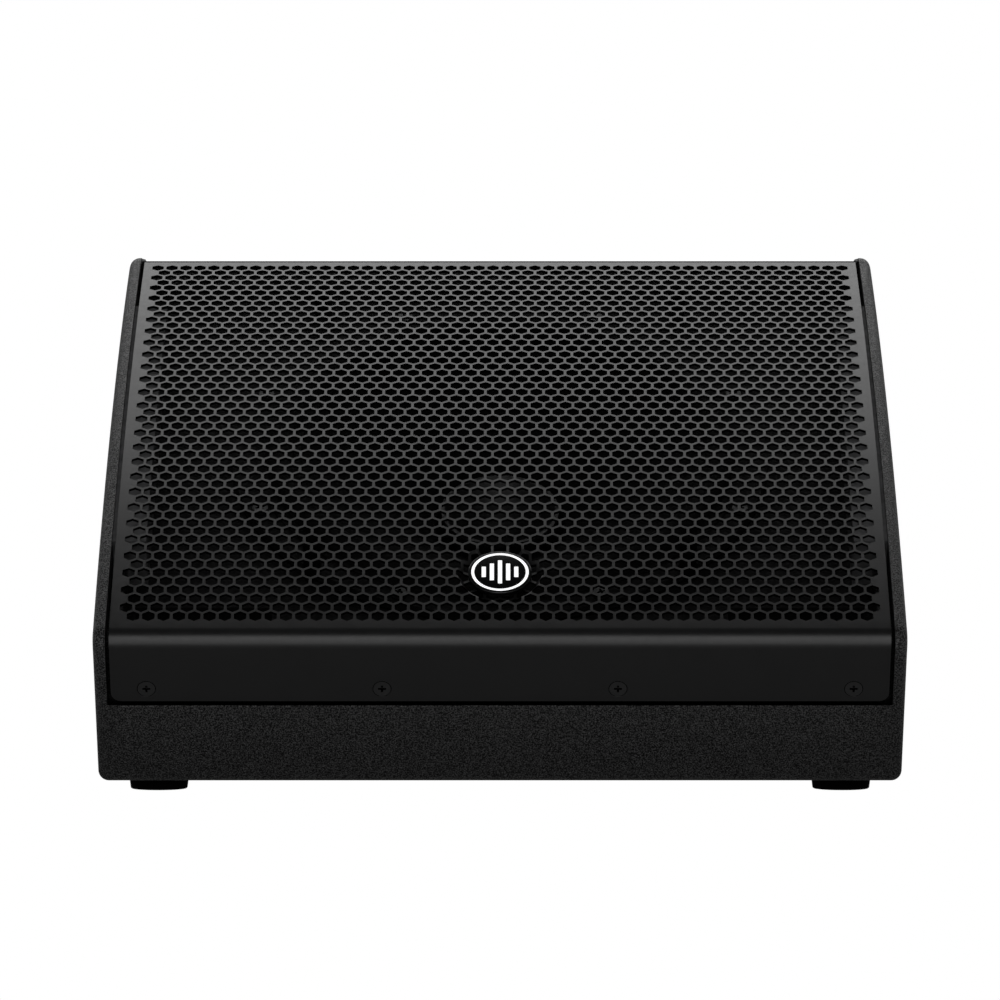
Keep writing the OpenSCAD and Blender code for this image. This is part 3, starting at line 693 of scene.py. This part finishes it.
def press_dimple(sheet, cells):
    """Meshes the cells around the badge, with edges along every ring of the pressing."""
    outer = outline_of(cells)
    loops = [outer]
    for x, s in cells:
        loops += [hexagon(x, s, HOLE_R + HOLE_EDGE), hexagon(x, s, HOLE_R)]
    loops += [circle((0, BADGE_S), r, 144) for r, _ in PRESS]
    points, edges = [], []
    for loop in loops:
        first = len(points)
        points += loop
        edges += [(first + k, first + (k + 1) % len(loop)) for k in range(len(loop))]
    scaled = [Vector((x * 1000, (s - BADGE_S) * 1000)) for x, s in points]
    out, _, tris, origin, _, _ = delaunay_2d_cdt(scaled, edges, [], 0, 1e-5)
    flat = [points[o[0]] if o else (v[0] / 1000, v[1] / 1000 + BADGE_S)
            for v, o in zip(out, origin)]
    kept = []
    for tri in tris:
        x, s = (sum(flat[k][axis] for k in tri) / 3 for axis in (0, 1))
        if inside((x, s), outer) and not in_hole(x, s, cells):
            kept.append(tri)
    used = {(tri[k], tri[(k + 1) % 3]) for tri in kept for k in range(3)}
    rim = {(round(x * 1e6), round(s * 1e6)) for x, s in outer}
    free = [(a, b) for a, b in used if (b, a) not in used
            and (round(flat[a][0] * 1e6), round(flat[a][1] * 1e6)) not in rim]
    sunk = {k for edge in free for k in edge}
    front = {k: sheet.at(*flat[k], -HOLE_EDGE if k in sunk else 0.0)
             for tri in kept for k in tri}
    back = {k: sheet.at(*flat[k], -SHEET) for tri in kept for k in tri}
    for a, b, c in kept:
        sheet.faces += [[front[a], front[b], front[c]], [back[c], back[b], back[a]]]
    for a, b in free:
        sheet.faces.append([front[b], front[a], back[a], back[b]])


def build_grille():
    sheet = Sheet()
    pressed = []
    for row in range(1, ROWS + 1):
        for x in row_holes(row):
            if math.hypot(x, row_s(row) - BADGE_S) < DIMPLE_R + CELL_R + 0.001:
                pressed.append((x, row_s(row)))
            else:
                punch_hole(sheet, x, row_s(row))
    press_dimple(sheet, pressed)
    columns, lip_top = add_margins(sheet)
    add_lip(sheet, columns, lip_top)
    close_edges(sheet)
    piece = add_piece("grille_sheet", bend_sheet(sheet.points), sheet.faces,
                      "grille_paint", "cabinet", "grille")
    # Marks the hole walls and the sheet's back, which the grille paint turns black as painted shade.
    depth = piece.data.attributes.new("depth", "FLOAT", "POINT")
    depth.data.foreach_set("value", [1.0 if n < 0 else 0.0 for _, _, n in sheet.points])


def on_badge(points):
    """Maps points (across, up the grille, out of it) around the badge's centre."""
    slope = NOSE_SLOPE - BADGE_S / CURVE_R
    up = Vector((0, math.cos(slope), math.sin(slope)))
    out = Vector((0, -math.sin(slope), math.cos(slope)))
    centre = Vector((0, *CURVE)) + CURVE_R * out
    return [centre + Vector((x, 0, 0)) + up * t + out * n for x, t, n in points]


def build_badge():
    """A plain badge: a ring round five upright level bars."""
    top, edge = BADGE_LIFT, BADGE_EDGE
    profile = [(BADGE_R - edge + edge * math.sin(t), top - edge + edge * math.cos(t))
               for t in [math.pi / 2 * k / 5 for k in range(6)]]
    back, seat = top - BADGE_T, 0.0001 - DIMPLE_DEPTH
    profile += [(BADGE_R, back), (PEG_R, back), (PEG_R, seat), (PEG_FOOT_R, seat),
                (PEG_FOOT_R, -DIMPLE_DEPTH - SHEET - 0.004)]
    disc = Shell()
    rings = [disc.loop([(x, t, n) for x, t in circle((0, 0), r, 96)]) for r, n in profile]
    for a, b in zip(rings, rings[1:]):
        disc.bridge(a, b, flip=True)
    disc.faces += [list(rings[0]), list(rings[-1])[::-1]]
    add_piece("badge_disc_turned", on_badge(disc.verts), disc.faces,
              "gloss_black", "badge", "badge_disc")

    mark = Shell()
    low, high, soft = top - 0.0002, top + 0.0001, 0.00008
    ring = [(RING_IN, low), (RING_OUT, low), (RING_OUT, high - soft), (RING_OUT - soft, high),
            (RING_IN + soft, high), (RING_IN, high - soft)]
    rings = [mark.loop([(x, t, n) for x, t in circle((0, 0), r, 96)]) for r, n in ring]
    for a, b in zip(rings, rings[1:] + rings[:1]):
        mark.bridge(a, b)
    for bar in range(-2, 3):
        loops = []
        for inset, n in ((0, low), (0, high - soft), (soft, high)):
            tall = BAR_TALL - BAR_LOSS * abs(bar)
            outline = rounded_box((bar * BAR_STEP, 0), BAR_W - 2 * inset, tall - 2 * inset, 0.0003)
            loops.append(mark.loop([(x, t, n) for x, t in outline]))
        for a, b in zip(loops, loops[1:]):
            mark.bridge(a, b)
        mark.faces += [list(loops[-1]), list(loops[0])[::-1]]
    add_piece("badge_mark", on_badge(mark.verts), mark.faces,
              "white_print", "badge", "badge_emblem")


def build_flexing_ring(name, slot, fixed_r, moving_r):
    """A driver's ring that bends between the frame, at fixed_r, and the cone, at moving_r."""
    node = nodes[name]
    mesh = node.data.copy()
    mesh.transform(node.matrix_world)
    mesh.materials.clear()
    mesh.materials.append(LOOKS[slot])
    smooth(mesh)
    piece = bpy.data.objects.new(name + "_flexing", mesh)
    bpy.context.scene.collection.objects.link(piece)
    low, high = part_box("cone")
    centre = Vector((0, (low.y + high.y) / 2, (low.z + high.z) / 2))
    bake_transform(piece, "cabinet", "cone_assembly", centre, centre + AXIS * 0.01)
    weights = []
    for vertex in mesh.vertices:
        away = vertex.co - centre
        radius = (away - AXIS * away.dot(AXIS)).length
        weights.append(min(max((fixed_r - radius) / (fixed_r - moving_r), 0), 1))
    mesh.attributes["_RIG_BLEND"].data.foreach_set("value", weights)
    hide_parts(name)


# ---- cabinet ----------------------------------------------------------------

def side_outline(inset):
    """Side panel seen from the side, moved inwards by inset, anticlockwise from the rear foot."""
    blend = 0.030                                    # long curve into the flat top
    reach = CURVE_R + RIM_PROUD - blend
    blend_z = TOP - blend
    blend_y = CURVE[0] - math.sqrt(reach ** 2 - (blend_z - CURVE[1]) ** 2)
    blend_slope = math.asin((CURVE[0] - blend_y) / reach)
    quarter = math.pi / 2
    low_front = kick_point(BASE + CORNER_R, RIM_PROUD - CORNER_R)
    top_rear = (REAR - CORNER_R, TOP - CORNER_R)
    low_rear = (REAR - CORNER_R, BASE + CORNER_R)
    small, nose = CORNER_R - inset, BEND_R + RIM_PROUD - inset
    curve = CURVE_R + RIM_PROUD - inset
    points = arc(low_rear, small, -quarter, 0, 6)
    points += arc(top_rear, small, 0, quarter, 6)
    points += [(blend_y + 0.006, TOP - inset)]
    points += arc((blend_y, blend_z), blend - inset, quarter, quarter + blend_slope, 8)
    points += arc(CURVE, curve, quarter + blend_slope, quarter + NOSE_SLOPE, 48)[1:-1]
    points += arc(NOSE, nose, quarter + NOSE_SLOPE, math.pi + KICK_LEAN, 18)
    points += arc(low_front, small, math.pi + KICK_LEAN, math.pi + quarter, 8)
    return points


def ease_top(outline):
    """Lowers the outline's top edge to the top panel, behind the front corner."""
    corner = [y for y, z in outline if z > TOP - 0.00001]
    limit = sorted(corner)[0] + 0.003
    return [(y, min(z, TOP - TOP_DROP) if y > limit else z) for y, z in outline]


def rounded_box(centre, width, height, corner):
    """A rounded rectangle around a centre, anticlockwise."""
    points = []
    for k, (sy, sz) in enumerate(((1, -1), (1, 1), (-1, 1), (-1, -1))):
        middle = (centre[0] + sy * (width / 2 - corner), centre[1] + sz * (height / 2 - corner))
        start = (k - 1) * math.pi / 2
        points += arc(middle, corner, start, start + math.pi / 2, 8)
    return points


def outline_behind():
    """Side view of the side panel behind its rim: it stops at the baffle's face."""
    top = TOP - TOP_DROP
    front_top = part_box("top_panel")[0].y
    baffle_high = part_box("baffle")[1]
    drop = CORNER_R - TOP_DROP
    points = arc((REAR - CORNER_R, BASE + CORNER_R), CORNER_R, -math.pi / 2, 0, 6)
    points += [(REAR - CORNER_R + CORNER_R * math.cos(t), top - drop + drop * math.sin(t))
               for t in [math.pi / 2 * k / 8 for k in range(9)]]
    points += [(front_top, top), (front_top, baffle_high.z)]
    points += [kick_point(KICK_TOP, -LIP_BACK), kick_point(LIP_Z - LIP_GAP, -LIP_BACK)]
    points += [kick_point(LIP_Z - LIP_GAP, RIM_PROUD)]
    centre = kick_point(BASE + CORNER_R, RIM_PROUD - CORNER_R)
    return points + arc(centre, CORNER_R, math.pi + KICK_LEAN, math.pi * 1.5, 8)


def place(points, x):
    return [(x, y, z) for y, z in points]


def flat_side(vertex):
    return vertex[1], vertex[2]


def build_side(name, side, pocket, opening):
    """A side panel: a rounded outer layer that forms the rim, and a layer behind it.

    pocket and opening are loops, seen from the side, of the recess for a fitting's flange
    and of the hole behind it."""
    shell = Shell()
    flange = 0.003
    steps = 8

    def at(depth):
        return side * (HALF_W - depth)

    rings = [place(ease_top(side_outline(0)), at(RIM_W))]
    for k in range(steps + 1):
        turn = math.pi / 2 * k / steps
        rings.append(place(side_outline(EDGE_R * (1 - math.cos(turn))),
                           at(EDGE_R * (1 - math.sin(turn)))))
    rings = [shell.loop(ring) for ring in rings]
    facing_left = side < 0
    for a, b in zip(rings, rings[1:]):
        shell.bridge(a, b, flip=facing_left)
    mouth = shell.loop(place(pocket, at(0)))
    floor = shell.loop(place(pocket, at(flange)))
    rim = shell.loop(place(opening, at(flange)))
    back = shell.loop(place(opening, at(RIM_W)))
    shell.cap(flat_side, rings[-1], [mouth], flip=facing_left)
    shell.bridge(mouth, floor, flip=facing_left)
    shell.cap(flat_side, floor, [rim], flip=facing_left)
    shell.bridge(rim, back, flip=facing_left)
    shell.cap(flat_side, rings[0], [back], flip=not facing_left)

    outline = outline_behind()
    outer = shell.loop(place(outline, at(RIM_W)))
    inner = shell.loop(place(outline, at(BOARD)))
    near = shell.loop(place(opening, at(RIM_W)))
    far = shell.loop(place(opening, at(BOARD)))
    shell.cap(flat_side, outer, [near], flip=facing_left)
    shell.cap(flat_side, inner, [far], flip=not facing_left)
    shell.bridge(inner, outer, flip=facing_left)
    shell.bridge(near, far, flip=facing_left)
    add_piece(name + "_shell", shell.verts, shell.faces, "cabinet_paint", "cabinet", name)


def build_sides():
    lows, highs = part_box("handle_cup")
    middle = ((lows.y + highs.y) / 2, (lows.z + highs.z) / 2)
    width, height = highs.y - lows.y, highs.z - lows.z
    lip = 0.012
    build_side("side_panel_left", -1,
               rounded_box(middle, width + 0.0006, height + 0.0006, 0.034),
               rounded_box(middle, width - 2 * lip, height - 2 * lip, 0.022))
    lows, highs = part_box("pole_socket")
    middle = ((lows.y + highs.y) / 2, (lows.z + highs.z) / 2)
    build_side("side_panel_right", 1,
               circle(middle, (highs.y - lows.y) / 2 + 0.0003),
               circle(middle, 0.0208))


def extrude(name, outline, half, node):
    """A strip of constant section between the side panels."""
    shell = Shell()
    left = shell.loop(place(outline, -half))
    right = shell.loop(place(outline, half))
    shell.bridge(left, right)
    shell.cap(flat_side, left, flip=True)
    shell.cap(flat_side, right)
    add_piece(name, shell.verts, shell.faces, "cabinet_paint", "cabinet", node)


def build_strips():
    half = HALF_W - BOARD
    quarter = math.pi / 2
    step_r = 0.0006
    edge = kick_point(LIP_Z - LIP_GAP - step_r, RIM_PROUD - step_r)
    front = kick_point(BASE + CORNER_R, RIM_PROUD - CORNER_R)
    groove_top = LIP_Z + GROOVE_RISE
    kick = [kick_point(BASE, RIM_PROUD - BOARD), kick_point(KICK_TOP, RIM_PROUD - BOARD),
            kick_point(KICK_TOP, -LIP_BACK), kick_point(groove_top, -LIP_BACK),
            kick_point(groove_top, -GROOVE_DEPTH), kick_point(LIP_Z - LIP_GAP, -GROOVE_DEPTH)]
    kick += arc(edge, step_r, quarter, math.pi + KICK_LEAN, 4)
    kick += arc(front, CORNER_R, math.pi + KICK_LEAN, math.pi + quarter, 8)
    extrude("kick_panel_shell", kick, half, "kick_panel")

    top = TOP - TOP_DROP
    low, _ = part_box("top_panel")
    drop = CORNER_R - TOP_DROP
    rear = [(REAR - CORNER_R + CORNER_R * math.cos(t), top - drop + drop * math.sin(t))
            for t in [quarter * k / 8 for k in range(9)]]
    front = arc((low.y + 0.0003, top - 0.0003), 0.0003, quarter, math.pi, 3)
    extrude("top_panel_shell", [(REAR, low.z)] + rear + front + [(low.y, low.z)],
            half, "top_panel")

    _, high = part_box("bottom_panel")
    rear = arc((REAR - CORNER_R, BASE + CORNER_R), CORNER_R, -quarter, 0, 8)
    bottom = [kick_point(BASE, RIM_PROUD - BOARD)] + rear
    bottom += [(REAR, high.z), kick_point(high.z, RIM_PROUD - BOARD)]
    extrude("bottom_panel_shell", bottom, half, "bottom_panel")


def lathe(centre, profile, steps=64):
    """Verts and faces of a closed profile of (radius, height) turned around a vertical axis."""
    shell = Shell()
    rings = [shell.loop([(centre[0] + r * math.cos(t), centre[1] + r * math.sin(t), z)
                         for t in [2 * math.pi * k / steps for k in range(steps)]])
             for r, z in profile]
    for a, b in zip(rings, rings[1:] + rings[:1]):
        shell.bridge(a, b)
    return shell


def build_feet():
    """Four rubber feet, each with a sunk hole for its screw."""
    for end in ("front", "rear"):
        for side in ("left", "right"):
            name = f"foot_{end}_{side}"
            low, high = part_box(name)
            centre = ((low.x + high.x) / 2, (low.y + high.y) / 2)
            wide = (high.x - low.x) / 2
            soft = 0.0012
            narrow = wide - 0.00065
            profile = [(0.0026, BASE), (0.0026, 0.005), (0.0045, 0.005), (0.0050, 0.0045),
                       (0.0050, 0.0006), (0.0056, 0.0)]
            profile += [(narrow - soft + soft * math.sin(t), soft - soft * math.cos(t))
                        for t in [math.pi / 2 * k / 5 for k in range(6)]]
            profile += [(wide - 0.0001, BASE - 0.0008), (wide - 0.0006, BASE)]
            shell = lathe(centre, profile)
            add_piece(name + "_rubber", shell.verts, shell.faces, "black_rubber", "cabinet", name)


# ---- carried-over nodes -----------------------------------------------------

BEVELS = {
    "grille_screws": 0.00015,
    "handle_cup": 0.0008, "pole_socket": 0.0006, "level_knob_1": 0.0004, "level_knob_2": 0.0004,
    "contour_button": 0.0004, "power_rocker": 0.0004, "switch_housing": 0.0004,
    "ac_inlet": 0.0004, "input_jack_1": 0.0004, "input_jack_2": 0.0004, "link_output": 0.0004,
    "jack_latch_1": 0.0004, "jack_latch_2": 0.0004, "amp_panel": 0.0004, "heat_sink": 0.0003,
    "basket": 0.0005, "rear_panel": 0.0006,
}


def dress_nodes():
    """Materials, shading and soft edges for the CAD nodes that are still shown."""
    for entry in frame["record"]["subparts"]:
        name, slot = entry["node"], entry["material_slot"]
        node = nodes[name]
        if node.hide_render:
            continue
        node.data.materials.clear()
        node.data.materials.append(LOOKS[slot])
        node.data.polygons.foreach_set("material_index", [0] * len(node.data.polygons))
        smooth(node.data, 30)
        if name in BEVELS:
            bevel = node.modifiers.new("soft_edges", "BEVEL")
            bevel.width = BEVELS[name]
            bevel.segments = 2
            bevel.limit_method = "ANGLE"
            bevel.angle_limit = math.radians(40)
            bevel.harden_normals = True


# ---- stage, lights and camera -----------------------------------------------

# The floor's glow close to the object: a painted shadow of the object.
FLOOR_SHADOW_GLOW = 0.15                # how much the floor lights the object from close by


def build_stage():
    """A floor that looks white, and lights the object only from some way off: close to the object its glow
    is dimmed, as a painted shadow of the object.
    """
    mesh = bpy.data.meshes.new("floor")
    size = 12.0
    mesh.from_pydata([(-size, -size, 0), (size, -size, 0), (size, size, 0), (-size, size, 0)],
                     [], [(0, 1, 2, 3)])
    floor = bpy.data.objects.new("floor", mesh)
    bpy.context.scene.collection.objects.link(floor)
    material = bpy.data.materials.new("floor_white")
    material.use_nodes = True
    tree = material.node_tree
    tree.nodes.clear()
    output = tree.nodes.new("ShaderNodeOutputMaterial")
    seen = tree.nodes.new("ShaderNodeEmission")
    glow = tree.nodes.new("ShaderNodeEmission")
    place_on = tree.nodes.new("ShaderNodeTexCoord")
    away = tree.nodes.new("ShaderNodeSeparateXYZ")
    tree.links.new(place_on.outputs["Object"], away.inputs[0])
    across = tree.nodes.new("ShaderNodeMath")
    across.operation = "ABSOLUTE"
    tree.links.new(away.outputs["X"], across.inputs[0])
    depth, width = away.outputs["Y"], across.outputs[0]
    # Painted shadow: near the object the floor's glow drops to its dim level, standing in for the object's
    # shadow.
    front = map_range(tree, depth, -0.38, -0.47, FLOOR_SHADOW_GLOW, 1.35)
    rear = map_range(tree, depth, 0.40, 0.65, FLOOR_SHADOW_GLOW, 1.15)
    sides = map_range(tree, width, 0.50, 0.80, FLOOR_SHADOW_GLOW, 0.75)
    brightest = combine(tree, "MAXIMUM", combine(tree, "MAXIMUM", front, rear), sides)
    tree.links.new(brightest, glow.inputs["Strength"])
    show_and_light(tree, output, seen, glow)
    mesh.materials.append(material)


def build_world():
    """A world that looks white, and lights the object mostly from low at its sides and back."""
    world = bpy.data.worlds.new("studio")
    bpy.context.scene.world = world
    world.use_nodes = True
    tree = world.node_tree
    tree.nodes.clear()
    output = tree.nodes.new("ShaderNodeOutputWorld")
    white = tree.nodes.new("ShaderNodeBackground")
    dim = tree.nodes.new("ShaderNodeBackground")
    white.inputs["Color"].default_value = (1, 1, 1, 1)
    dim.inputs["Color"].default_value = (1, 1, 1, 1)
    heading = tree.nodes.new("ShaderNodeTexCoord")
    split = tree.nodes.new("ShaderNodeSeparateXYZ")
    tree.links.new(heading.outputs["Generated"], split.inputs[0])
    low = map_range(tree, split.outputs["Z"], 0.60, 0.35)
    behind = map_range(tree, split.outputs["Y"], -0.30, 0.10)
    level = tree.nodes.new("ShaderNodeMath")
    level.operation = "MULTIPLY_ADD"
    level.inputs[1].default_value = 0.40          # a band of light low at the sides and back
    level.inputs[2].default_value = 0.03          # and a little from everywhere
    tree.links.new(combine(tree, "MULTIPLY", low, behind), level.inputs[0])
    tree.links.new(level.outputs[0], dim.inputs["Strength"])
    show_and_light(tree, output, white, dim)


def area_light(name, elevation, azimuth, distance, width, height, power):
    """A soft light aimed at the object. Azimuth 0 is in front; elevation is above the floor."""
    data = bpy.data.lights.new(name, "AREA")
    data.shape = "RECTANGLE"
    data.size, data.size_y = width, height
    data.energy = power
    light = bpy.data.objects.new(name, data)
    e, a = math.radians(elevation), math.radians(azimuth)
    aim = Vector((0, 0, 0.15))
    away = Vector((math.sin(a) * math.cos(e), -math.cos(a) * math.cos(e), math.sin(e)))
    light.location = aim + distance * away
    light.rotation_euler = away.to_track_quat("Z", "Y").to_euler()
    bpy.context.scene.collection.objects.link(light)


def build_lights():
    area_light("back_softbox", 50, 180, 2.6, 3.2, 2.1, 41)
    area_light("front_softbox", 15, 0, 4.2, 3.0, 2.2, 40)


def build_camera():
    data = bpy.data.cameras.new("camera")
    data.lens, data.sensor_width = 210, 36
    data.clip_start, data.clip_end = 0.1, 50
    camera = bpy.data.objects.new("camera", data)
    distance = 3.2615               # in front of the nose
    camera.location = (0, FRONT - distance, 0.2529)
    camera.rotation_euler = (math.radians(90 - 1.5), 0, 0)
    bpy.context.scene.collection.objects.link(camera)
    bpy.context.scene.camera = camera


build_grille()
build_badge()
build_flexing_ring("surround", "surround_rubber", 0.138, 0.121)
build_flexing_ring("spider", "spider_cloth", 0.074, 0.042)
build_sides()
build_strips()
build_feet()
dress_nodes()
build_stage()
build_world()
build_lights()
build_camera()
bpy.context.scene.view_settings.view_transform = "Standard"
